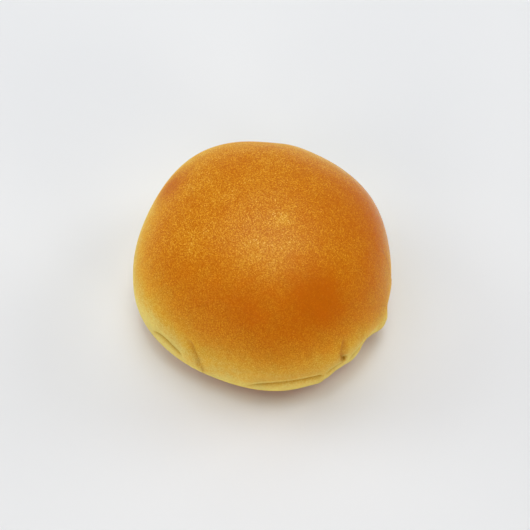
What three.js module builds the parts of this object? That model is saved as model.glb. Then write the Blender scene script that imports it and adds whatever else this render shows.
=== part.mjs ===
// A brioche bun: one soft round of baked dough with a domed crown and a flat underside.
// The skin is tucked in near the base, where it shows creases, short upright pleats
// and one small rounded nub that stands out at the right.
//
// Millimetres, +Z up. The photographed side faces -Y. The origin is at the middle of the base.

import * as THREE from "three";
import { mergeVertices } from "three/addons/utils/BufferGeometryUtils.js";

// Driving dimensions
const BELLY_RADIUS = 49.8; // mean radius at the widest level
const BUN_HEIGHT = 55;
const BELLY_HEIGHT = 16.5; // level of the widest point above the base
const FOOT_SHARE = 0.84; // radius of the flat base as a share of the belly radius
const DOME_POWER = 0.92; // 1 is an elliptic dome, less is fuller
const TUCK_POWER = 0.72; // 1 is an elliptic tuck under the belly, less is squarer

// The plan outline isn't a true circle: each swell has a number of lobes, a height and a direction.
const OUTLINE_SWELLS = [
  { lobes: 2, height: 1.07, toward: -47 },
  { lobes: 3, height: 0.5, toward: -36 },
  { lobes: 4, height: 0.73, toward: 25 },
  { lobes: 5, height: 0.4, toward: -20 },
];

// The crown is a little lumpy, as risen dough is.
const LUMP_HEIGHT = 0.35;
const LUMP_LOBES = 3;
const LUMP_PITCH = 34; // height over which the lumps turn once

// Creases that run along the base. Each covers azimuths of middle -/+ halfSpan degrees. Its line is at
// height + rise * u - arch * u * u, with u from -1 to 1 along the span. The skin above overhangs a groove
// of the given depth, and the dough below stands out as a lip.
const FOLDS = [
  {
    middle: -82, halfSpan: 18, height: 16, rise: 4, arch: 4.5,
    depth: 3, lip: 0, fadeIn: 9, fadeOut: 2.5,
  },
  {
    middle: -57.6, halfSpan: 5.7, height: 17.4, rise: 2, arch: 0,
    depth: 3.1, lip: 0.3, fadeIn: 2.5, fadeOut: 1.5,
  },
  {
    middle: -46.8, halfSpan: 4.6, height: 17.2, rise: 3, arch: 0,
    depth: 2.6, lip: 0.65, fadeIn: 3, fadeOut: 3,
  },
  {
    middle: -138.3, halfSpan: 6.2, height: 20.8, rise: 0.3, arch: 1.8,
    depth: 2.6, lip: 0, fadeIn: 5, fadeOut: 2.5,
  },
  {
    middle: -130.8, halfSpan: 3.4, height: 18.9, rise: -1.4, arch: 0.5,
    depth: 2.4, lip: 0, fadeIn: 2, fadeOut: 2,
  },
  {
    middle: 158, halfSpan: 17, height: 14.5, rise: -3, arch: 1.5,
    depth: 2.2, lip: 0.3, fadeIn: 3, fadeOut: 12,
  },
  {
    middle: 90, halfSpan: 16, height: 15, rise: -3.5, arch: 4.5,
    depth: 2.8, lip: 0.2, fadeIn: 2.5, fadeOut: 9,
  },
  {
    middle: 69.5, halfSpan: 4, height: 17.5, rise: -2, arch: 0,
    depth: 2.4, lip: 0.2, fadeIn: 2, fadeOut: 2,
  },
  {
    middle: 22, halfSpan: 14, height: 15, rise: 3, arch: 1,
    depth: 2.2, lip: 0.3, fadeIn: 10, fadeOut: 3,
  },
];
const FOLD_RIM_ROUND = 1.9; // height over which the overhanging rim turns into its groove
const FOLD_FLOOR = 2.6; // height over which the groove runs out onto the lip
const FOLD_RECESS = 0.35; // how far the rim lies back from the belly
const FOLD_RECESS_REACH = 8;
const LIP_DROP = 6; // the lip stands out most this far below its crease
const LIP_SPREAD = 4.5;

// Upright pleats: a step across a line that leans by lean degrees a millimetre and bends by curl.
// The side toward proudSide stands out, and the other side dips over its reach.
const PLEATS = [
  { azimuth: -118.4, lean: -0.3, curl: -0.03, low: 14, high: 30, depth: 1.8, reach: 4, proudSide: 1 },
  { azimuth: -55.25, lean: -0.5, curl: 0.05, low: 20, high: 33, depth: 1.2, reach: 2.5, proudSide: -1 },
  { azimuth: -13, lean: 0.37, curl: 0, low: 22, high: 38, depth: 0.8, reach: 2.5, proudSide: -1 },
  { azimuth: 124, lean: -0.3, curl: -0.02, low: 13, high: 28, depth: 1.4, reach: 4, proudSide: 1 },
  { azimuth: 61, lean: 0.4, curl: -0.04, low: 19, high: 31, depth: 1.1, reach: 2.5, proudSide: 1 },
];
const PLEAT_MIDDLE = 20; // height at which a pleat's azimuth is given
const PLEAT_FADE = 6; // height over which a pleat runs out at its ends
const PLEAT_STEP = 2.4; // width of the step
const PLEAT_PROUD_REACH = 4.5;
const PLEAT_PROUD_SHARE = 0.4; // how far the proud side stands out, as a share of the depth

// Rounded places where the side stands out, or lies back below 0: the nub, the hollows beside it, the knob
// that ends the front crease, a shallow hollow at the front, the full flank at the left, and soft swells at
// the right and the back. The reaches are in degrees. An endsPower of 2 is bell-shaped along the side, and
// more is flatter in the middle with steeper ends.
const BULGES = [
  { azimuth: -26.2, reachBefore: 4.8, reachAfter: 3.8, level: 11, spread: 6, out: 1.7, endsPower: 4 },
  { azimuth: -38, reachBefore: 9, reachAfter: 5, level: 10, spread: 10, out: -1.8, endsPower: 2 },
  { azimuth: -56, reachBefore: 4, reachAfter: 6, level: 10, spread: 10, out: -0.8, endsPower: 2 },
  { azimuth: -65.5, reachBefore: 3.5, reachAfter: 2.5, level: 10, spread: 5, out: 0.9, endsPower: 2 },
  { azimuth: -95, reachBefore: 18, reachAfter: 14, level: 12, spread: 12, out: -0.4, endsPower: 2 },
  { azimuth: -141, reachBefore: 24, reachAfter: 27, level: 16, spread: 14, out: 1.15, endsPower: 4 },
  { azimuth: 22, reachBefore: 28, reachAfter: 16, level: 28, spread: 16, out: 0.8, endsPower: 2 },
  { azimuth: 75, reachBefore: 12, reachAfter: 10, level: 32, spread: 14, out: 0.95, endsPower: 2 },
  { azimuth: 125, reachBefore: 20, reachAfter: 20, level: 32, spread: 14, out: 0.3, endsPower: 2 },
];

// The mesh: a box of this many cells, moulded into the bun, so that no cells crowd at the apex
const CELLS_ACROSS = 34;
const SIDE_ROWS = 27;
const CROWN_EDGE = 45; // height at which the box's top face meets its sides
const SKIRT_TOP = 23; // the rows are closer below this height, where the folds are
const SHOULDER_ROWS_SHARE = 0.3;
const HEEL_TOP = 3.5; // height at which the box's sides meet its bottom face
const FLAT_SHARE = 0.75; // share of the bottom face that lies flat on the table
const FRONT_CROWDING = 0.2; // 0 spaces the columns evenly, more brings them closer together at the front
const FRONT_AZIMUTH = -90;
const RELIEF_SHARE = 0.5; // within this share of the belly radius the relief shrinks toward the apex
const FACE_TOLERANCE = 1e-5;

const { clamp, degToRad, euclideanModulo, lerp, radToDeg, smoothstep } = THREE.MathUtils;

// A degree difference brought into -180 to 180
function wrapDegrees(degrees) {
  return euclideanModulo(degrees + 180, 360) - 180;
}

function bell(distance, reach) {
  return Math.exp(-((distance / reach) ** 2));
}

// The belly's radius toward one azimuth
function bellyRadius(azimuth) {
  let radius = BELLY_RADIUS;
  for (const swell of OUTLINE_SWELLS) {
    radius += swell.height * Math.cos(swell.lobes * degToRad(azimuth - swell.toward));
  }
  return radius;
}

// Height of the dome at a share of the belly radius
function domeHeight(share) {
  const drop = (1 - share ** (2 / DOME_POWER)) ** (DOME_POWER / 2);
  return BELLY_HEIGHT + (BUN_HEIGHT - BELLY_HEIGHT) * drop;
}

// Share of the belly radius that the plain side has at a height, above or below the belly
function sideShare(height) {
  if (height >= BELLY_HEIGHT) {
    const up = (height - BELLY_HEIGHT) / (BUN_HEIGHT - BELLY_HEIGHT);
    return (1 - up ** (2 / DOME_POWER)) ** (DOME_POWER / 2);
  }
  const down = 1 - height / BELLY_HEIGHT;
  const tuck = (1 - down ** (2 / TUCK_POWER)) ** (TUCK_POWER / 2);
  return FOOT_SHARE + (1 - FOOT_SHARE) * tuck;
}

// How far one crease moves the skin in or out
function foldRelief(fold, azimuth, height) {
  const along = wrapDegrees(azimuth - fold.middle);
  const begins = smoothstep(along, -fold.halfSpan, -fold.halfSpan + fold.fadeIn);
  const ends = 1 - smoothstep(along, fold.halfSpan - fold.fadeOut, fold.halfSpan);
  const strength = begins * ends;
  if (strength === 0) return 0;
  const place = clamp(along / fold.halfSpan, -1, 1);
  const crease = fold.height + fold.rise * place - fold.arch * place * place;
  const above = height - crease;
  const groove = fold.depth * bell(above, above > 0 ? FOLD_RIM_ROUND : FOLD_FLOOR);
  const recess = above > 0 ? FOLD_RECESS * bell(above, FOLD_RECESS_REACH) : 0;
  const lip = fold.lip * bell(above + LIP_DROP, LIP_SPREAD);
  return strength * (lip - Math.max(groove, recess));
}

// How far one pleat moves the skin in or out
function pleatRelief(pleat, azimuth, height) {
  const rise = height - PLEAT_MIDDLE;
  const line = pleat.azimuth + pleat.lean * rise + pleat.curl * rise * rise;
  const across = degToRad(wrapDegrees(azimuth - line)) * BELLY_RADIUS * pleat.proudSide;
  const risesIn = smoothstep(height, pleat.low - PLEAT_FADE, pleat.low);
  const runsOut = 1 - smoothstep(height, pleat.high - PLEAT_FADE, pleat.high);
  const proud = PLEAT_PROUD_SHARE * bell(across, PLEAT_PROUD_REACH);
  const dip = -bell(across, pleat.reach);
  const side = smoothstep(across, -PLEAT_STEP / 2, PLEAT_STEP / 2);
  return pleat.depth * risesIn * runsOut * lerp(dip, proud, side);
}

// How far one bulge moves the skin out
function bulgeRelief(bulge, azimuth, height) {
  const along = wrapDegrees(azimuth - bulge.azimuth);
  const reach = along < 0 ? bulge.reachBefore : bulge.reachAfter;
  const ends = Math.exp(-((along / reach) ** bulge.endsPower));
  return bulge.out * ends * bell(height - bulge.level, bulge.spread);
}

// Lumps, creases, pleats and bulges together; all of them die out toward the flat base and the apex
function relief(azimuth, height) {
  const turn = degToRad(azimuth) * LUMP_LOBES + (2 * Math.PI * height) / LUMP_PITCH;
  let offset = LUMP_HEIGHT * Math.sin(turn) * (1 - smoothstep(height, CROWN_EDGE, BUN_HEIGHT));
  for (const fold of FOLDS) offset += foldRelief(fold, azimuth, height);
  for (const pleat of PLEATS) offset += pleatRelief(pleat, azimuth, height);
  for (const bulge of BULGES) offset += bulgeRelief(bulge, azimuth, height);
  return offset * smoothstep(height, 0, HEEL_TOP);
}

// Azimuth of a point on a square that is squeezed evenly into a disc
function discAzimuth(x, y) {
  if (x === 0 && y === 0) return 0;
  if (Math.abs(x) >= Math.abs(y)) return 45 * (y / x) + (x < 0 ? 180 : 0);
  return 90 - 45 * (x / y) + (y < 0 ? 180 : 0);
}

// Azimuths moved toward the front, where the folds are finest
function crowdToFront(azimuth) {
  return azimuth - radToDeg(FRONT_CROWDING * Math.sin(degToRad(azimuth - FRONT_AZIMUTH)));
}

// Where a point of the unit box comes to lie on the plain bun: its share of the belly radius and its height
function mouldedPlace(point) {
  const reach = Math.max(Math.abs(point.x), Math.abs(point.y));
  if (point.z > 1 - FACE_TOLERANCE) {
    const share = reach * sideShare(CROWN_EDGE);
    return { share, height: domeHeight(share) };
  }
  if (point.z < -1 + FACE_TOLERANCE) {
    if (reach <= FLAT_SHARE) return { share: (FOOT_SHARE * reach) / FLAT_SHARE, height: 0 };
    const heelAngle = Math.asin((1 - HEEL_TOP / BELLY_HEIGHT) ** (1 / TUCK_POWER));
    const angle = lerp(heelAngle, Math.PI / 2, (1 - reach) / (1 - FLAT_SHARE));
    const height = BELLY_HEIGHT * (1 - Math.sin(angle) ** TUCK_POWER);
    return { share: sideShare(height), height };
  }
  const down = (1 - point.z) / 2;
  const height =
    down < SHOULDER_ROWS_SHARE
      ? lerp(CROWN_EDGE, SKIRT_TOP, down / SHOULDER_ROWS_SHARE)
      : lerp(SKIRT_TOP, HEEL_TOP, (down - SHOULDER_ROWS_SHARE) / (1 - SHOULDER_ROWS_SHARE));
  return { share: sideShare(height), height };
}

function makeBunGeometry() {
  const box = new THREE.BoxGeometry(2, 2, 2, CELLS_ACROSS, CELLS_ACROSS, SIDE_ROWS);
  box.deleteAttribute("normal");
  box.deleteAttribute("uv");
  const geometry = mergeVertices(box);
  const position = geometry.attributes.position;
  const point = new THREE.Vector3();
  for (let i = 0; i < position.count; i += 1) {
    point.fromBufferAttribute(position, i);
    const azimuth = crowdToFront(discAzimuth(point.x, point.y));
    const { share, height } = mouldedPlace(point);
    const shrink = Math.min(1, share / RELIEF_SHARE);
    const radius = share * bellyRadius(azimuth) + relief(azimuth, height) * shrink;
    position.setXYZ(
      i,
      radius * Math.cos(degToRad(azimuth)),
      radius * Math.sin(degToRad(azimuth)),
      height,
    );
  }
  geometry.computeBoundingBox();
  const centre = geometry.boundingBox.getCenter(new THREE.Vector3());
  geometry.translate(-centre.x, -centre.y, -geometry.boundingBox.min.z);
  geometry.computeVertexNormals();
  return geometry;
}

const crust = new THREE.MeshStandardMaterial({ color: 0xcf8428, roughness: 0.5, metalness: 0 });
const bun = new THREE.Mesh(makeBunGeometry(), crust);
bun.name = "bun";

const briocheBun = new THREE.Group();
briocheBun.add(bun);

export default briocheBun;
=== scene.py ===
import math
from typing import NamedTuple

import bpy
import numpy as np
from bpy.props import FloatProperty, FloatVectorProperty, PointerProperty
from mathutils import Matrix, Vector


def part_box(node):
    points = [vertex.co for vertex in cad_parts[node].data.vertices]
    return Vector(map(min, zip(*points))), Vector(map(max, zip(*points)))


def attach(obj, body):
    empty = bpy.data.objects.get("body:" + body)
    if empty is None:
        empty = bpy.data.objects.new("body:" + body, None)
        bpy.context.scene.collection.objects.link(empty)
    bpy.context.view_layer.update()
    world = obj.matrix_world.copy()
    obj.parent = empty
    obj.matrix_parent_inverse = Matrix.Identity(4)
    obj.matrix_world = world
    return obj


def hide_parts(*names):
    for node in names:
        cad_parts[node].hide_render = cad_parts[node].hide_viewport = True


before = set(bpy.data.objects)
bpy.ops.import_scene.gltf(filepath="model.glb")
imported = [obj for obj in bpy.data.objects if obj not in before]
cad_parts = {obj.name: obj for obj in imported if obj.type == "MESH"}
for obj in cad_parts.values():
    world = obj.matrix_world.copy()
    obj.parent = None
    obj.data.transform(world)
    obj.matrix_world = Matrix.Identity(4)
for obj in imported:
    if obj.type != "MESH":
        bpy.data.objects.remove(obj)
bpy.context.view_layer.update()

bl_info = {
    "name": "Brioche bun",
    "version": (1, 0, 0),
    "blender": (4, 5, 0),
    "location": "View3D > Sidebar > Bakery",
    "description": "Makes a golden brioche bun with creased, paler sides on a plain pale table",
    "category": "Add Mesh",
}

MM = 0.001

# The plain form, in millimetres and degrees, with azimuth 0 at +X
FRONT_AZIMUTH = -90.0
OUTLINE_SWELLS = ((2, 1.07, -47), (3, 0.5, -36), (4, 0.73, 25), (5, 0.4, -20))  # lobes, height, direction
LUMP_HEIGHT = 0.35
LUMP_LOBES = 3
LUMP_PITCH = 34
RELIEF_FULL_SHARE = 0.5  # nearer the axis than this share of the belly radius, relief fades out


class Fold(NamedTuple):
    """A crease along the base, on the line height + rise u - arch u u, with u from -1 to 1 along it.

    It covers the azimuths middle -/+ half_span, and the dough below it stands out by lip.
    """

    middle: float
    half_span: float
    height: float
    rise: float
    arch: float
    depth: float
    lip: float
    fade_in: float
    fade_out: float


FOLDS = (
    Fold(-82, 18, 16.0, 4.0, 4.5, 3.0, 0.0, 9, 2.5),
    Fold(-57.6, 5.7, 17.4, 2.0, 0, 3.1, 0.3, 2.5, 1.5),
    Fold(-46.8, 4.6, 17.2, 3.0, 0, 2.6, 0.65, 3, 3),
    Fold(-138.3, 6.2, 20.8, 0.3, 1.8, 2.6, 0.0, 5, 2.5),
    Fold(-130.8, 3.4, 18.9, -1.4, 0.5, 2.4, 0.0, 2, 2),
    Fold(158, 17, 14.5, -3.0, 1.5, 2.2, 0.3, 3, 12),
    Fold(90, 16, 15, -3.5, 4.5, 2.8, 0.2, 2.5, 9),
    Fold(69.5, 4, 17.5, -2.0, 0, 2.4, 0.2, 2, 2),
    Fold(22, 14, 15.0, 3.0, 1.0, 2.2, 0.3, 10, 3),
)
FOLD_RIM_ROUND = 0.3
FOLD_FLOOR = 2.0
FOLD_SLIT = 0.9
FOLD_SLIT_SHARE = 0.5
FOLD_RECESS = 0.35
FOLD_RECESS_REACH = 8
FOLD_RIM_LEVEL = 1.2  # the rim above a crease is palest at this height over it
FOLD_RIM_SPREAD = 1.4
LIP_DROP = 6
LIP_SPREAD = 4.5


class Pleat(NamedTuple):
    """An upright step in the skin along azimuth + lean h + curl h h, with h up from PLEAT_MIDDLE."""

    azimuth: float
    lean: float
    curl: float
    low: float
    high: float
    depth: float
    reach: float
    proud_side: int


PLEATS = (
    Pleat(-118.4, -0.3, -0.03, 14, 30, 1.8, 4, 1),
    Pleat(-55.25, -0.5, 0.05, 20, 33, 1.2, 2.5, -1),
    Pleat(-13, 0.37, 0, 22, 38, 0.8, 2.5, -1),
    Pleat(124, -0.3, -0.02, 13, 28, 1.4, 4, 1),
    Pleat(61, 0.4, -0.04, 19, 31, 1.1, 2.5, 1),
)
PLEAT_MIDDLE = 20
PLEAT_FADE = 6
PLEAT_STEP = 0.6
PLEAT_PROUD_REACH = 4.5
PLEAT_PROUD_SHARE = 0.4
# painted shadow along the foot of each pleat's step
PLEAT_SEAM_DEPTH = 1.2  # the seam along the step is shaded as a crease of this depth
PLEAT_SEAM_REACH = 0.9


class Bulge(NamedTuple):
    """A rounded place where the side stands out, or lies back below 0; reach is in degrees to each side.

    An ends_power of 2 is bell-shaped along the side, and more is flatter in the middle with steeper ends.
    """

    azimuth: float
    reach_before: float
    reach_after: float
    level: float
    spread: float
    out: float
    ends_power: int


BULGES = (
    Bulge(-26.2, 4.8, 3.8, 11, 6, 1.7, 4),
    Bulge(-38, 9, 5, 10, 10, -1.8, 2),
    Bulge(-56, 4, 6, 10, 10, -0.8, 2),
    Bulge(-65.5, 3.5, 2.5, 10, 5, 0.9, 2),
    Bulge(-95, 18, 14, 12, 12, -0.4, 2),
    Bulge(-141, 24, 27, 16, 14, 1.15, 4),
    Bulge(22, 28, 16, 28, 16, 0.8, 2),
    Bulge(75, 12, 10, 32, 14, 0.95, 2),
    Bulge(125, 20, 20, 32, 14, 0.3, 2),
)

# The mesh grid: a box moulded into the bun
CELLS_ACROSS = 112
SIDE_ROWS = 160
CROWN_EDGE = 45
SKIRT_TOP = 26
SHOULDER_ROWS_SHARE = 0.3
HEEL_TOP = 3.5
FLAT_SHARE = 0.75
SKIN_DISC_CENTRE = 0.41  # the discs of the map that is baked to, in shares of its side
SKIN_DISC_RADIUS = 0.41
BASE_DISC_CENTRE = 0.83
BASE_DISC_RADIUS = 0.165
FRONT_CROWDING = 0.5  # 0 spaces the columns evenly, more brings them closer together at the front

# How the crust browned: the level at which it is half brown is higher at the back
HALF_BROWN = 33.6
HALF_BROWN_BACK_RISE = 8.2
BACK_RISE_BEGINS = -0.45  # sines of the azimuth, which are -1 at the front and 1 at the back
BACK_RISE_FULL = 0.8
# Azimuth, spread and height of the places where that level lies lower or higher
HALF_BROWN_SHIFTS = ((150, 18, 2.4), (14, 36, -5.4), (-36, 20, -3.0), (-143, 16, 2.6))
BROWN_BELOW = 14.0
BROWN_ABOVE = 8.7
BROWN_POWER = 1.34
MEAN_BROWN = 0.743
FRONT_SKIRT_BROWN = 0.175  # the low skin at the front browned a little too
FRONT_SKIRT_LOW = 6.0
FRONT_SKIRT_HIGH = 19.0
FRONT_SKIRT_BEGINS = 0.72  # minus the sine of the azimuth, which is 1 at the front
FRONT_SKIRT_FULL = 0.95
FULL_BROWN = 1.25
# extra browning in creases is painted shade; in pleat dips it is partly the skin's colour, partly painted
# shade
TUCK_BROWN = 0.05
DIP_BROWN = 0.07
RIM_PALE = 0.1
HEEL_BROWN = 0.95  # below the belly the crust browned again, near the baking tray
HEEL_BROWN_TOP = 7.0
TUCK_DEEP = 1.5  # depth in millimetres at which tucked skin is shaded fully
# how strongly the crease colour darkens fully tucked skin, a painted shade
TUCK_SHADE = 0.74
UNDERSIDE_TOP = 0.6
BLISTER_LOW = 32.0  # the crust turns grainy between these heights
BLISTER_HIGH = 48.0
BLISTER_FRONT = -30.0  # and between these places, from the front backward
BLISTER_BACK = -2.0
BLISTER_FRONT_SHARE = 0.35
GLAZE_LEAST = 0.12
GLAZE_CROWN_REACH = 34
GLAZE_SHOULDER = 1.9  # the egg wash is thickest on the shoulder at the right and the back
GLAZE_SHOULDER_AZIMUTH = 35
GLAZE_SHOULDER_TURN = 44
GLAZE_SHOULDER_LEVEL = 30
GLAZE_SHOULDER_SPREAD = 9


class Toast(NamedTuple):
    """A patch that baked darker, or paler below 0, than the crust around it; the pale patch on the crown is
    a painted highlight instead.
    """

    azimuth: float
    radius: float
    reach: float
    strength: float


TOASTS = (
    Toast(-84, 36, 16, 0.155),
    Toast(-55, 40, 13, 0.29),
    Toast(-59, 34, 8, 0.345),
    Toast(12, 40, 20, 0.29),
    Toast(-27, 50, 10, 0.26),
    Toast(-136, 38, 14, 0.14),
    Toast(-100, 34, 7, 0.185),
    Toast(150, 40, 7.5, 0.7),
    # a painted highlight: the pale patch on the crown
    Toast(-85, 14, 13, -0.175),
    Toast(-23, 8.2, 3, -0.34),
    Toast(-162, 34, 15, -0.05),
)


class BunForm(bpy.types.PropertyGroup):
    """Sizes of the bun."""

    belly_radius: FloatProperty(
        name="Belly radius",
        description="Mean radius at the widest level",
        default=49.8 * MM,
        unit="LENGTH",
        precision=4,
    )
    height: FloatProperty(
        name="Height",
        description="Height of the crown above the table",
        default=55 * MM,
        unit="LENGTH",
        precision=4,
    )
    belly_height: FloatProperty(
        name="Belly height",
        description="Level of the widest point",
        default=16.5 * MM,
        unit="LENGTH",
        precision=4,
    )
    foot_share: FloatProperty(
        name="Foot share",
        description="Radius of the base as a share of the belly radius",
        default=0.84,
        subtype="FACTOR",
    )
    dome_power: FloatProperty(
        name="Dome power",
        description="1 is an elliptic dome, less is fuller",
        default=0.92,
        subtype="FACTOR",
    )
    tuck_power: FloatProperty(
        name="Tuck power",
        description="1 is an elliptic tuck below the belly, less is squarer",
        default=0.72,
        subtype="FACTOR",
    )


class CrustLook(bpy.types.PropertyGroup):
    """Colours of the crust."""

    dough: FloatVectorProperty(
        name="Dough",
        description="Palest skin near the base",
        default=(0.89, 0.725, 0.195),
        subtype="COLOR",
        size=3,
    )
    pale: FloatVectorProperty(
        name="Pale",
        description="Skin that began to brown",
        default=(0.805, 0.47, 0.052),
        subtype="COLOR",
        size=3,
    )
    gold: FloatVectorProperty(
        name="Gold",
        description="Half-browned skin",
        default=(0.735, 0.325, 0.016),
        subtype="COLOR",
        size=3,
    )
    amber: FloatVectorProperty(
        name="Amber",
        description="Lighter crust of the crown",
        default=(0.64, 0.217, 0.0075),
        subtype="COLOR",
        size=3,
    )
    crown: FloatVectorProperty(
        name="Crown",
        description="Browned crust of the crown",
        default=(0.562, 0.143, 0.0019),
        subtype="COLOR",
        size=3,
    )
    toast: FloatVectorProperty(
        name="Toast",
        description="Patches that baked darkest",
        default=(0.547, 0.1225, 0.0015),
        subtype="COLOR",
        size=3,
    )
    # painted shade: this colour is multiplied into the depth of creases and along pleat seams
    crease: FloatVectorProperty(
        name="Crease",
        description="Tint in the depth of a crease",
        default=(0.56, 0.33, 0.05),
        subtype="COLOR",
        size=3,
    )
    underside: FloatVectorProperty(
        name="Underside",
        description="Base that lay on the baking tray",
        default=(0.45, 0.17, 0.02),
        subtype="COLOR",
        size=3,
    )
    speck: FloatVectorProperty(
        name="Speck",
        description="Tiny light blisters",
        default=(0.84, 0.40, 0.06),
        subtype="COLOR",
        size=3,
    )
    scorch: FloatVectorProperty(
        name="Scorch",
        description="A few tiny dark spots",
        default=(0.20, 0.05, 0.003),
        subtype="COLOR",
        size=3,
    )


class StageLook(bpy.types.PropertyGroup):
    """Table, light and camera."""

    table: FloatVectorProperty(
        name="Table",
        description="Colour of the table",
        default=(0.80, 0.80, 0.80),
        subtype="COLOR",
        size=3,
    )
    backdrop: FloatVectorProperty(
        name="Backdrop",
        description="What is seen beyond the table",
        default=(0.80, 0.80, 0.80),
        subtype="COLOR",
        size=3,
    )
    view_elevation: FloatProperty(
        name="View elevation",
        description="Camera's angle above the table",
        default=math.radians(62),
        subtype="ANGLE",
    )
    view_distance: FloatProperty(
        name="View distance",
        description="From camera to the point it looks at",
        default=0.294,
        unit="LENGTH",
    )
    lens: FloatProperty(name="Lens", description="Focal length", default=52.4, unit="CAMERA")


def smooth_rise(value, low, high):
    """0 below low, 1 above high, and smooth between."""
    share = np.clip((value - low) / (high - low), 0.0, 1.0)
    return share * share * (3.0 - 2.0 * share)


def bell(distance, reach):
    return np.exp(-((distance / reach) ** 2))


def wrap_degrees(degrees):
    """Degree differences brought into -180 to 180."""
    return (degrees + 180.0) % 360.0 - 180.0


def belly_radius(azimuth, form):
    radius = np.full_like(azimuth, form.belly_radius / MM)
    for lobes, height, toward in OUTLINE_SWELLS:
        radius += height * np.cos(lobes * np.radians(azimuth - toward))
    return radius


def dome_height(share, form):
    """Height of the dome at a share of the belly radius."""
    drop = (1.0 - share ** (2.0 / form.dome_power)) ** (form.dome_power / 2.0)
    return (form.belly_height + (form.height - form.belly_height) * drop) / MM


def side_share(height, form):
    """Share of the belly radius that the plain side has at a height, above or below the belly."""
    belly = form.belly_height / MM
    up = np.clip((height - belly) / (form.height / MM - belly), 0.0, 1.0)
    above = (1.0 - up ** (2.0 / form.dome_power)) ** (form.dome_power / 2.0)
    down = np.clip(1.0 - height / belly, 0.0, 1.0)
    tuck = (1.0 - down ** (2.0 / form.tuck_power)) ** (form.tuck_power / 2.0)
    below = form.foot_share + (1.0 - form.foot_share) * tuck
    return np.where(height >= belly, above, below)


def fold_relief(fold, azimuth, height):
    """How far one crease moves the skin out at its lip and in at its groove, and where its pale rim is."""
    along = wrap_degrees(azimuth - fold.middle)
    begins = smooth_rise(along, -fold.half_span, -fold.half_span + fold.fade_in)
    ends = 1.0 - smooth_rise(along, fold.half_span - fold.fade_out, fold.half_span)
    place = np.clip(along / fold.half_span, -1.0, 1.0)
    above = height - (fold.height + fold.rise * place - fold.arch * place * place)
    slit = bell(above, np.where(above > 0, FOLD_RIM_ROUND, FOLD_SLIT))
    hollow = bell(above, np.where(above > 0, FOLD_RIM_ROUND, FOLD_FLOOR))
    groove = fold.depth * (hollow + FOLD_SLIT_SHARE * (slit - hollow))
    recess = np.where(above > 0, FOLD_RECESS * bell(above, FOLD_RECESS_REACH), 0.0)
    lip = fold.lip * bell(above + LIP_DROP, LIP_SPREAD)
    rim = bell(above - FOLD_RIM_LEVEL, FOLD_RIM_SPREAD)
    strength = begins * ends
    return strength * lip, strength * np.maximum(groove, recess), strength * rim


def pleat_relief(pleat, azimuth, height, form):
    """How far one pleat moves the skin out on its proud side and in on the other, and where its seam gets
    painted shadow.
    """
    rise = height - PLEAT_MIDDLE
    line = pleat.azimuth + pleat.lean * rise + pleat.curl * rise * rise
    across = np.radians(wrap_degrees(azimuth - line)) * form.belly_radius / MM * pleat.proud_side
    rises_in = smooth_rise(height, pleat.low - PLEAT_FADE, pleat.low)
    runs_out = 1.0 - smooth_rise(height, pleat.high - PLEAT_FADE, pleat.high)
    side = smooth_rise(across, -PLEAT_STEP / 2, PLEAT_STEP / 2)
    proud = PLEAT_PROUD_SHARE * bell(across, PLEAT_PROUD_REACH) * side
    dip = bell(across, pleat.reach) * (1.0 - side)
    shown = rises_in * runs_out
    seam = PLEAT_SEAM_DEPTH * bell(across, PLEAT_SEAM_REACH) * shown
    return pleat.depth * proud * shown, pleat.depth * dip * shown, seam


def bulge_relief(bulge, azimuth, height):
    """How far one bulge moves the skin out."""
    along = wrap_degrees(azimuth - bulge.azimuth)
    reach = np.where(along < 0, bulge.reach_before, bulge.reach_after)
    ends = np.exp(-((along / reach) ** bulge.ends_power))
    return bulge.out * ends * bell(height - bulge.level, bulge.spread)


class Relief(NamedTuple):
    """How far the skin moves out, how deep creases and pleats dip, and where the creases' rims are."""

    offset: np.ndarray
    tuck: np.ndarray
    dip: np.ndarray
    rim: np.ndarray


def skin_relief(azimuth, height, form):
    """The relief of lumps, bulges, creases and pleats, which all end at the flat base."""
    turn = np.radians(azimuth) * LUMP_LOBES + 2.0 * math.pi * height / LUMP_PITCH
    offset = LUMP_HEIGHT * np.sin(turn) * (1.0 - smooth_rise(height, CROWN_EDGE, form.height / MM))
    for bulge in BULGES:
        offset += bulge_relief(bulge, azimuth, height)
    tuck = np.zeros_like(offset)
    dip = np.zeros_like(offset)
    rim = np.zeros_like(offset)
    for fold in FOLDS:
        lip, groove, fold_rim = fold_relief(fold, azimuth, height)
        offset += lip - groove
        tuck += groove
        rim += fold_rim
    for pleat in PLEATS:
        proud, inward, seam = pleat_relief(pleat, azimuth, height, form)
        offset += proud - inward
        dip += inward
        # the pleats' seams get painted shadow together with the creases
        tuck += seam
    fade = smooth_rise(height, 0.0, HEEL_TOP)
    return Relief(offset * fade, tuck * fade, dip * fade, rim * fade)


def square_to_disc(x, y):
    """Azimuth and reach of points on a square that is squeezed evenly into a disc."""
    wide = np.abs(x) >= np.abs(y)
    safe_x = np.where(x == 0, 1.0, x)
    safe_y = np.where(y == 0, 1.0, y)
    across = 45.0 * (y / safe_x) + np.where(x < 0, 180.0, 0.0)
    along = 90.0 - 45.0 * (x / safe_y) + np.where(y < 0, 180.0, 0.0)
    return np.where(wide, across, along), np.maximum(np.abs(x), np.abs(y))


def crowd_to_front(azimuth):
    """Azimuths moved toward the front, so that the finest folds get the closest columns."""
    return azimuth - np.degrees(FRONT_CROWDING * np.sin(np.radians(azimuth - FRONT_AZIMUTH)))


def side_levels():
    """Heights of the side's rows, from the crown's edge down to the heel."""
    down = np.linspace(0.0, 1.0, SIDE_ROWS + 1)
    shoulder = CROWN_EDGE + (SKIRT_TOP - CROWN_EDGE) * down / SHOULDER_ROWS_SHARE
    skirt_down = (down - SHOULDER_ROWS_SHARE) / (1.0 - SHOULDER_ROWS_SHARE)
    skirt = SKIRT_TOP + (HEEL_TOP - SKIRT_TOP) * skirt_down
    return np.where(down < SHOULDER_ROWS_SHARE, shoulder, skirt)


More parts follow.
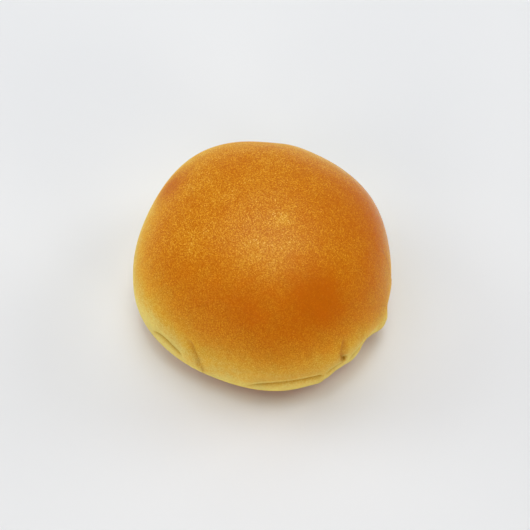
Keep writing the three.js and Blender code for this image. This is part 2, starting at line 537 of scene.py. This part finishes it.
def bun_grid(form):
    """Azimuth, height and share of the belly radius of every vertex, and the quads between them."""
    cells = CELLS_ACROSS
    columns = 4 * cells
    ring_azimuth = -45.0 + 90.0 * np.arange(columns) / cells
    levels = side_levels()
    azimuth = np.tile(ring_azimuth, SIDE_ROWS + 1)
    height = np.repeat(levels, columns)
    share = side_share(height, form)

    index = np.arange((SIDE_ROWS + 1) * columns).reshape(SIDE_ROWS + 1, columns)
    right = np.roll(index, -1, axis=1)
    quads = [np.stack([index[1:], right[1:], right[:-1], index[:-1]], axis=-1).reshape(-1, 4)]

    steps = np.arange(cells + 1)
    i, j = np.meshgrid(steps, steps, indexing="ij")
    ring = np.select(
        [i == cells, j == cells, i == 0, j == 0],
        [j, 2 * cells - i, 3 * cells - j, 3 * cells + i],
        default=-1,
    )
    inner = ring < 0
    face_azimuth, reach = square_to_disc(-1.0 + 2.0 * i[inner] / cells, -1.0 + 2.0 * j[inner] / cells)

    crown_share = reach * side_share(np.array([float(CROWN_EDGE)]), form)[0]
    heel_angle = math.asin((1.0 - HEEL_TOP * MM / form.belly_height) ** (1.0 / form.tuck_power))
    angle = heel_angle + (math.pi / 2 - heel_angle) * np.clip((1.0 - reach) / (1.0 - FLAT_SHARE), 0.0, 1.0)
    on_heel = reach > FLAT_SHARE
    heel_rise = (1.0 - np.sin(angle) ** form.tuck_power) * form.belly_height / MM
    heel_height = np.where(on_heel, heel_rise, 0.0)
    flat_share = form.foot_share * reach / FLAT_SHARE
    heel_share = np.where(on_heel, side_share(heel_height, form), flat_share)

    faces = ((dome_height(crown_share, form), crown_share, 0, 1), (heel_height, heel_share, SIDE_ROWS, -1))
    for face_height, face_share, level, turn in faces:
        start = len(azimuth)
        corner = np.where(inner, 0, index[level][np.maximum(ring, 0)])
        corner[inner] = start + np.arange(inner.sum())
        azimuth = np.concatenate([azimuth, face_azimuth])
        height = np.concatenate([height, face_height])
        share = np.concatenate([share, face_share])
        face = np.stack([corner[:-1, :-1], corner[1:, :-1], corner[1:, 1:], corner[:-1, 1:]], axis=-1)
        quads.append(face.reshape(-1, 4)[:, ::turn])
    return crowd_to_front(azimuth), height, share, np.concatenate(quads)


def browning(places, relief, form):
    """0 on pale skin, 1 on full crust, more where it is toasted or tucked in."""
    azimuth = np.degrees(np.arctan2(places[:, 1], places[:, 0]))
    toward_back = np.sin(np.radians(azimuth))
    half = HALF_BROWN + HALF_BROWN_BACK_RISE * smooth_rise(toward_back, BACK_RISE_BEGINS, BACK_RISE_FULL)
    for toward, spread, shift in HALF_BROWN_SHIFTS:
        half += shift * bell(wrap_degrees(azimuth - toward), spread)
    share = np.clip((places[:, 2] - half + BROWN_BELOW) / (BROWN_BELOW + BROWN_ABOVE), 0.0, 1.0)
    skirt = smooth_rise(places[:, 2], FRONT_SKIRT_LOW, FRONT_SKIRT_HIGH)
    skirt *= smooth_rise(-toward_back, FRONT_SKIRT_BEGINS, FRONT_SKIRT_FULL) * (1.0 - share)
    total = MEAN_BROWN * share**BROWN_POWER + FRONT_SKIRT_BROWN * skirt
    for patch in TOASTS:
        turn = math.radians(patch.azimuth)
        belly = belly_radius(np.array([float(patch.azimuth)]), form)[0]
        top = dome_height(np.array([patch.radius / belly]), form)[0]
        centre = np.array([patch.radius * math.cos(turn), patch.radius * math.sin(turn), top])
        total += patch.strength * bell(np.linalg.norm(places - centre, axis=1), patch.reach)
    total += HEEL_BROWN * (1.0 - smooth_rise(places[:, 2], 0.0, HEEL_BROWN_TOP))
    # creases brown more as painted shade, pleat dips partly as painted shade, and crease rims are paler
    total += TUCK_BROWN * relief.tuck + DIP_BROWN * relief.dip - RIM_PALE * relief.rim
    return np.clip(total, 0.0, FULL_BROWN)


def blistering(places):
    """How grainy the crust is: 1 on the crown, less at the front and on the sides."""
    upper = smooth_rise(places[:, 2], BLISTER_LOW, BLISTER_HIGH)
    back = smooth_rise(places[:, 1], BLISTER_FRONT, BLISTER_BACK)
    return upper * (BLISTER_FRONT_SHARE + (1.0 - BLISTER_FRONT_SHARE) * back)


def glazing(places):
    """How thick the egg wash is: 1 at the crown, less on the sides and more on one shoulder."""
    crown = bell(np.hypot(places[:, 0], places[:, 1]), GLAZE_CROWN_REACH)
    azimuth = np.degrees(np.arctan2(places[:, 1], places[:, 0]))
    shoulder = bell(wrap_degrees(azimuth - GLAZE_SHOULDER_AZIMUTH), GLAZE_SHOULDER_TURN)
    shoulder *= bell(places[:, 2] - GLAZE_SHOULDER_LEVEL, GLAZE_SHOULDER_SPREAD)
    return GLAZE_LEAST + (1.0 - GLAZE_LEAST) * crown + GLAZE_SHOULDER * shoulder


def add_float_attribute(mesh, name, values):
    attribute = mesh.attributes.new(name, "FLOAT", "POINT")
    attribute.data.foreach_set("value", values.astype(np.float32))


def add_bake_map(mesh, azimuth, height, radius, quads, form):
    """A map with the skin as one disc seen from the apex and the flat base as a small disc beside it."""
    turn = np.radians(azimuth)
    around = np.stack([np.cos(turn), np.sin(turn)], axis=1)
    lean = np.arctan2(radius, height - form.belly_height / MM)
    skin = SKIN_DISC_CENTRE + SKIN_DISC_RADIUS * (lean / lean[height > 0].max())[:, None] * around
    base = BASE_DISC_CENTRE + BASE_DISC_RADIUS * (radius / radius[height == 0].max())[:, None] * around
    on_base = (height[quads] == 0).all(axis=1)
    places = np.where(on_base[:, None, None], base[quads], skin[quads])
    layer = mesh.uv_layers.new(name="OFBake")
    layer.uv.foreach_set("vector", places.astype(np.float32).ravel())


def make_bun_mesh(form):
    azimuth, height, share, quads = bun_grid(form)
    plain_radius = share * belly_radius(azimuth, form)
    relief = skin_relief(azimuth, height, form)
    radius = plain_radius + relief.offset * np.minimum(1.0, share / RELIEF_FULL_SHARE)
    turn = np.radians(azimuth)
    places = np.stack([radius * np.cos(turn), radius * np.sin(turn), height], axis=1)
    brown = browning(places, relief, form)
    blister = blistering(places)

    low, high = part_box("bun")
    middle = (places.min(axis=0) + places.max(axis=0)) / 2
    places[:, 0] += (low[0] + high[0]) / 2 / MM - middle[0]
    places[:, 1] += (low[1] + high[1]) / 2 / MM - middle[1]
    places[:, 2] += low[2] / MM - places[:, 2].min()

    mesh = bpy.data.meshes.new("brioche_bun")
    mesh.from_pydata((places * MM).tolist(), [], quads.tolist())
    add_float_attribute(mesh, "browning", brown)
    add_float_attribute(mesh, "blister", blister)
    add_float_attribute(mesh, "glaze", glazing(places))
    add_float_attribute(mesh, "tuck", np.clip(relief.tuck / TUCK_DEEP, 0.0, 1.0))
    add_float_attribute(mesh, "underside", 1.0 - smooth_rise(height, 0.0, UNDERSIDE_TOP))
    add_bake_map(mesh, azimuth, height, plain_radius, quads, form)
    mesh.shade_smooth()
    mesh.update()
    return mesh


class Noise(NamedTuple):
    """A noise texture: its scale per metre, and its detail."""

    scale: float
    detail: float


class Dots(NamedTuple):
    """Round dots: spacing and radius in millimetres, the share of places with one, and their strength."""

    spacing: float
    radius: float
    share: float
    strength: float


# The crust's texture
BLOTCH = Noise(45.0, 2.0)
MOTTLE = Noise(180.0, 3.0)
STREAK = Noise(600.0, 2.0)
FINE_GRAIN = Noise(3200.0, 1.5)
NOISE_MEAN = 0.5
STREAK_STRETCH = (1.0, 1.0, 0.2)
PORE_SIZE = 0.34
PORE_SHARE = 0.5
LIGHT_DOTS = Dots(1.7, 0.34, 0.35, 0.35)
DARK_DOTS = Dots(13.0, 0.5, 0.2, 0.7)
DOT_CORE = 0.4  # a dot is full within this share of its radius

# How far the textures move the browning, which is most uneven on browned crust
UNEVEN_GAIN = 1.2
UNEVEN_LEAST = 0.2
BLOTCH_SWING = 0.30
MOTTLE_SWING = 0.32
STREAK_SWING = 0.12
GRAIN_LEAST = 0.78
GRAIN_CROWN = 0.47

# The browning at which each colour is reached, between dough at 0 and toast at FULL_BROWN
PALE_AT = 0.2
GOLD_AT = 0.4
AMBER_AT = 0.65
CROWN_AT = 1.0

# Shade, gloss and bump
GRAIN_SHADE_LEAST = 0.1
GRAIN_SHADE_CROWN = 0.06
MOTTLE_SHADE = 0.25
ROUGHNESS_LEAST = 0.5
ROUGHNESS_GRAIN = 0.2
CRUST_SPECULAR = 0.05
GLAZE_EVEN = 0.13
GLAZE_GRAIN = 0.6
GLAZE_ROUGHNESS = 0.21
BUMP_MOTTLE = 2.0
BUMP_DISTANCE = 0.00012


def feed(tree, socket, value):
    """Link a socket to another one, or set it to a value."""
    if isinstance(value, bpy.types.NodeSocket):
        tree.links.new(value, socket)
    else:
        socket.default_value = value


def add_node(tree, kind, **values):
    """A shader node with some of its inputs fed."""
    node = tree.nodes.new(kind)
    for name, value in values.items():
        feed(tree, node.inputs[name.replace("_", " ")], value)
    return node


def add_math(tree, operation, *values):
    node = tree.nodes.new("ShaderNodeMath")
    node.operation = operation
    for socket, value in zip(node.inputs, values):
        feed(tree, socket, value)
    return node.outputs[0]


def add_mix(tree, factor, first, second, blend="MIX"):
    node = tree.nodes.new("ShaderNodeMix")
    node.data_type = "RGBA"
    node.blend_type = blend
    for socket, value in zip((node.inputs[0], node.inputs[6], node.inputs[7]), (factor, first, second)):
        feed(tree, socket, value)
    return node.outputs[2]


def add_scaled(tree, colour, amount):
    node = tree.nodes.new("ShaderNodeVectorMath")
    node.operation = "SCALE"
    feed(tree, node.inputs["Vector"], colour)
    feed(tree, node.inputs["Scale"], amount)
    return node.outputs["Vector"]


def add_stretched(tree, coords, scales):
    """Coordinates scaled along each axis; a scale below 1 draws a texture out along it."""
    node = tree.nodes.new("ShaderNodeVectorMath")
    node.operation = "MULTIPLY"
    feed(tree, node.inputs[0], coords)
    feed(tree, node.inputs[1], scales)
    return node.outputs["Vector"]


def add_attribute(tree, name):
    node = tree.nodes.new("ShaderNodeAttribute")
    node.attribute_name = name
    return node.outputs["Fac"]


def opaque(colour):
    return (*colour, 1.0)


def add_noise(tree, coords, noise):
    node = add_node(tree, "ShaderNodeTexNoise", Vector=coords, Scale=noise.scale, Detail=noise.detail)
    return node.outputs["Fac"]


def add_swing(tree, value, amount, base):
    """base plus a noise value that swings evenly about it."""
    return add_math(tree, "MULTIPLY_ADD", add_math(tree, "SUBTRACT", value, NOISE_MEAN), amount, base)


def add_cells(tree, coords, spacing):
    """Cells at random places: the distance from a cell's middle, and the random draws of each cell."""
    cells = add_node(tree, "ShaderNodeTexVoronoi", Vector=coords, Scale=1.0 / (spacing * MM))
    draws = add_node(tree, "ShaderNodeSeparateColor", Color=cells.outputs["Color"])
    return cells.outputs["Distance"], draws.outputs


def add_dots(tree, coords, dots):
    """Round dots at random places: as strong as they are inside a dot, and 0 elsewhere."""
    distance, draws = add_cells(tree, coords, dots.spacing)
    dot = add_node(tree, "ShaderNodeMapRange", Value=distance)
    dot.inputs["From Min"].default_value = dots.radius / dots.spacing
    dot.inputs["From Max"].default_value = DOT_CORE * dots.radius / dots.spacing
    held = add_math(tree, "LESS_THAN", draws["Red"], dots.share)
    return add_math(tree, "MULTIPLY", add_math(tree, "MULTIPLY", dot.outputs["Result"], held), dots.strength)


def make_crust_material(look):
    material = bpy.data.materials.new("brioche_crust")
    material.use_nodes = True
    tree = material.node_tree
    shader = tree.nodes["Principled BSDF"]
    coords = tree.nodes.new("ShaderNodeTexCoord").outputs["Object"]
    blister = add_attribute(tree, "blister")
    flank = add_math(tree, "SUBTRACT", 1.0, blister)

    blotch = add_noise(tree, coords, BLOTCH)
    mottle = add_noise(tree, coords, MOTTLE)
    streaks = add_noise(tree, add_stretched(tree, coords, STREAK_STRETCH), STREAK)
    fine = add_noise(tree, coords, FINE_GRAIN)
    pores = add_cells(tree, coords, PORE_SIZE)[1]["Green"]
    grain = add_swing(tree, pores, PORE_SHARE, fine)

    # The browning, made uneven by blotches, mottling, streaks and grain
    brown = add_attribute(tree, "browning")
    unevenness = add_math(tree, "MULTIPLY_ADD", brown, UNEVEN_GAIN, UNEVEN_LEAST)
    unevenness = add_math(tree, "MINIMUM", unevenness, 1.0)
    brown = add_swing(tree, blotch, add_math(tree, "MULTIPLY", unevenness, BLOTCH_SWING), brown)
    brown = add_swing(tree, mottle, add_math(tree, "MULTIPLY", unevenness, MOTTLE_SWING), brown)
    brown = add_swing(tree, streaks, add_math(tree, "MULTIPLY", flank, STREAK_SWING), brown)
    graininess = add_math(tree, "MULTIPLY_ADD", blister, GRAIN_CROWN, GRAIN_LEAST)
    graininess = add_math(tree, "MULTIPLY", graininess, unevenness)
    speckled = add_math(tree, "MULTIPLY", add_math(tree, "SUBTRACT", grain, NOISE_MEAN), graininess)
    brown = add_math(tree, "SUBTRACT", brown, speckled)
    brown = add_math(tree, "MULTIPLY", brown, 1.0 / FULL_BROWN)

    # The colours that the browning runs through
    ramp = add_node(tree, "ShaderNodeValToRGB", Fac=brown)
    stops = ramp.color_ramp.elements
    stops[0].color = opaque(look.dough)
    stops[1].color = opaque(look.toast)
    browned_skin = (
        (PALE_AT, look.pale),
        (GOLD_AT, look.gold),
        (AMBER_AT, look.amber),
        (CROWN_AT, look.crown),
    )
    for browned, skin in browned_skin:
        stops.new(browned / FULL_BROWN).color = opaque(skin)
    colour = ramp.outputs["Color"]

    light_dots = add_math(tree, "MULTIPLY", add_dots(tree, coords, LIGHT_DOTS), blister)
    colour = add_mix(tree, light_dots, colour, opaque(look.speck))
    dark_dots = add_dots(tree, coords, DARK_DOTS)
    colour = add_mix(tree, dark_dots, colour, opaque(look.scorch))

    # Light and shade of the grain, the painted shade in the creases, and the base
    relief = add_math(tree, "MULTIPLY_ADD", blister, GRAIN_SHADE_CROWN, GRAIN_SHADE_LEAST)
    shade = add_swing(tree, grain, relief, 1.0)
    shade = add_swing(tree, mottle, add_math(tree, "MULTIPLY", flank, MOTTLE_SHADE), shade)
    colour = add_scaled(tree, colour, shade)
    # painted shade in the creases and along the pleats' seams
    crease_painted_shade = add_math(tree, "MULTIPLY", add_attribute(tree, "tuck"), TUCK_SHADE)
    colour = add_mix(tree, crease_painted_shade, colour, opaque(look.crease), "MULTIPLY")
    underside = add_attribute(tree, "underside")
    colour = add_mix(tree, underside, colour, opaque(look.underside))
    tree.links.new(colour, shader.inputs["Base Color"])

    # The gloss, with the egg wash as a coat
    rough = add_math(tree, "MULTIPLY_ADD", grain, ROUGHNESS_GRAIN, ROUGHNESS_LEAST)
    tree.links.new(rough, shader.inputs["Roughness"])
    shader.inputs["Specular IOR Level"].default_value = CRUST_SPECULAR
    glaze = add_math(tree, "MULTIPLY_ADD", grain, GLAZE_GRAIN, GLAZE_EVEN)
    glaze = add_math(tree, "MULTIPLY", glaze, add_attribute(tree, "glaze"))
    tree.links.new(glaze, shader.inputs["Coat Weight"])
    shader.inputs["Coat Roughness"].default_value = GLAZE_ROUGHNESS

    height = add_math(tree, "MULTIPLY_ADD", mottle, BUMP_MOTTLE, grain)
    bump = add_node(tree, "ShaderNodeBump", Height=height, Strength=1.0, Distance=BUMP_DISTANCE)
    tree.links.new(bump.outputs["Normal"], shader.inputs["Normal"])
    tree.links.new(bump.outputs["Normal"], shader.inputs["Coat Normal"])
    return material


class BAKERY_OT_bake_bun(bpy.types.Operator):
    """Make the bun: one solid with a domed crown, creased sides and a flat base"""

    bl_idname = "bakery.bake_bun"
    bl_label = "Bake bun"

    def execute(self, context):
        form = context.scene.bun_form
        mesh = make_bun_mesh(form)
        bun = bpy.data.objects.new("brioche_bun", mesh)
        context.collection.objects.link(bun)
        mesh.materials.append(make_crust_material(context.scene.crust_look))
        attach(bun, "root")
        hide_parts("bun")
        return {"FINISHED"}


# The stage
TABLE_SIZE = 4.0
TABLE_ROUGHNESS = 0.9
TABLE_SPECULAR = 0.1
LAMP_DISTANCE = 3.6
VIEW_TARGET = (0.8 * MM, -5.65 * MM, 24.5 * MM)


class Lamp(NamedTuple):
    """A soft square light, with its azimuth clockwise from the back.

    Only a light that gleams is mirrored in the crust.
    """

    name: str
    azimuth: float
    elevation: float
    size: float
    power: float
    tint: tuple
    gleams: bool


LAMPS = (
    Lamp("overhead", 30, 79, 2.0, 43.5, (0.98, 1.0, 1.06), True),
    Lamp("ceiling_back", 0, 81, 0.5, 10.5, (0.92, 1.0, 1.1), False),
    Lamp("back_high", 10, 50, 2.0, 25.0, (0.94, 1.0, 1.06), False),
    Lamp("back_left", 315, 50, 2.0, 24.0, (0.98, 1.0, 1.03), False),
    Lamp("right_side", 68, 27, 1.6, 36.0, (1.0, 1.0, 1.0), False),
    Lamp("left_side", 290, 27, 1.6, 32.0, (1.0, 1.0, 0.99), False),
    Lamp("front_middle", 185, 45, 2.0, 7.0, (1.03, 0.97, 0.87), False),
    Lamp("front_left", 230, 27, 1.6, 18.0, (1.04, 0.97, 0.85), False),
    Lamp("front_left_low", 205, 13, 1.2, 17.5, (1.04, 0.96, 0.82), False),
    Lamp("front_right_low", 138, 13, 1.2, 29.0, (1.03, 0.97, 0.83), False),
)


def aim(thing, target):
    """Turn a camera or light so that it faces a point."""
    way = Vector(target) - thing.location
    thing.rotation_euler = way.to_track_quat("-Z", "Y").to_euler()


def hang_lamp(context, lamp):
    data = bpy.data.lights.new(lamp.name, "AREA")
    data.energy = lamp.power
    data.color = lamp.tint
    data.size = lamp.size
    light = bpy.data.objects.new(lamp.name, data)
    light.visible_camera = False
    light.visible_glossy = lamp.gleams
    turn = math.radians(lamp.azimuth)
    rise = math.radians(lamp.elevation)
    way = Vector((math.sin(turn) * math.cos(rise), math.cos(turn) * math.cos(rise), math.sin(rise)))
    light.location = way * LAMP_DISTANCE
    aim(light, (0.0, 0.0, 0.0))
    context.collection.objects.link(light)


def make_backdrop(look):
    """A pale studio beyond the table that only the camera sees, so all light is from the lamps."""
    world = bpy.data.worlds.new("backdrop")
    world.use_nodes = True
    tree = world.node_tree
    background = tree.nodes["Background"]
    background.inputs["Color"].default_value = opaque(look.backdrop)
    seen = tree.nodes.new("ShaderNodeLightPath").outputs["Is Camera Ray"]
    tree.links.new(seen, background.inputs["Strength"])
    return world


class BAKERY_OT_set_stage(bpy.types.Operator):
    """Lay the plain pale table, set the soft light and place the camera"""

    bl_idname = "bakery.set_stage"
    bl_label = "Set stage"

    def execute(self, context):
        look = context.scene.stage_look
        bpy.ops.mesh.primitive_plane_add(size=TABLE_SIZE)
        table = context.object
        table.name = "table"
        finish = bpy.data.materials.new("table_matte")
        finish.use_nodes = True
        shader = finish.node_tree.nodes["Principled BSDF"]
        shader.inputs["Base Color"].default_value = opaque(look.table)
        shader.inputs["Roughness"].default_value = TABLE_ROUGHNESS
        shader.inputs["Specular IOR Level"].default_value = TABLE_SPECULAR
        table.data.materials.append(finish)

        context.scene.world = make_backdrop(look)

        for lamp in LAMPS:
            hang_lamp(context, lamp)

        camera_data = bpy.data.cameras.new("camera")
        camera_data.lens = look.lens
        camera = bpy.data.objects.new("camera", camera_data)
        back = Vector((0.0, -math.cos(look.view_elevation), math.sin(look.view_elevation)))
        camera.location = Vector(VIEW_TARGET) + back * look.view_distance
        aim(camera, VIEW_TARGET)
        context.collection.objects.link(camera)
        context.scene.camera = camera
        context.scene.view_settings.view_transform = "Standard"
        return {"FINISHED"}


class BAKERY_PT_bun(bpy.types.Panel):
    """Sizes, colours and steps of the brioche bun"""

    bl_idname = "BAKERY_PT_bun"
    bl_label = "Brioche bun"
    bl_space_type = "VIEW_3D"
    bl_region_type = "UI"
    bl_category = "Bakery"

    def draw(self, context):
        layout = self.layout
        for group in (context.scene.bun_form, context.scene.crust_look, context.scene.stage_look):
            box = layout.box()
            for name in group.bl_rna.properties.keys():
                if name not in ("rna_type", "name"):
                    box.prop(group, name)
        layout.operator(BAKERY_OT_bake_bun.bl_idname)
        layout.operator(BAKERY_OT_set_stage.bl_idname)


CLASSES = (BunForm, CrustLook, StageLook, BAKERY_OT_bake_bun, BAKERY_OT_set_stage, BAKERY_PT_bun)


def register():
    for item in CLASSES:
        bpy.utils.register_class(item)
    bpy.types.Scene.bun_form = PointerProperty(type=BunForm)
    bpy.types.Scene.crust_look = PointerProperty(type=CrustLook)
    bpy.types.Scene.stage_look = PointerProperty(type=StageLook)


def unregister():
    del bpy.types.Scene.stage_look
    del bpy.types.Scene.crust_look
    del bpy.types.Scene.bun_form
    for item in reversed(CLASSES):
        bpy.utils.unregister_class(item)


def main():
    register()
    bpy.ops.bakery.bake_bun()
    bpy.ops.bakery.set_stage()


if __name__ == "__main__":
    main()
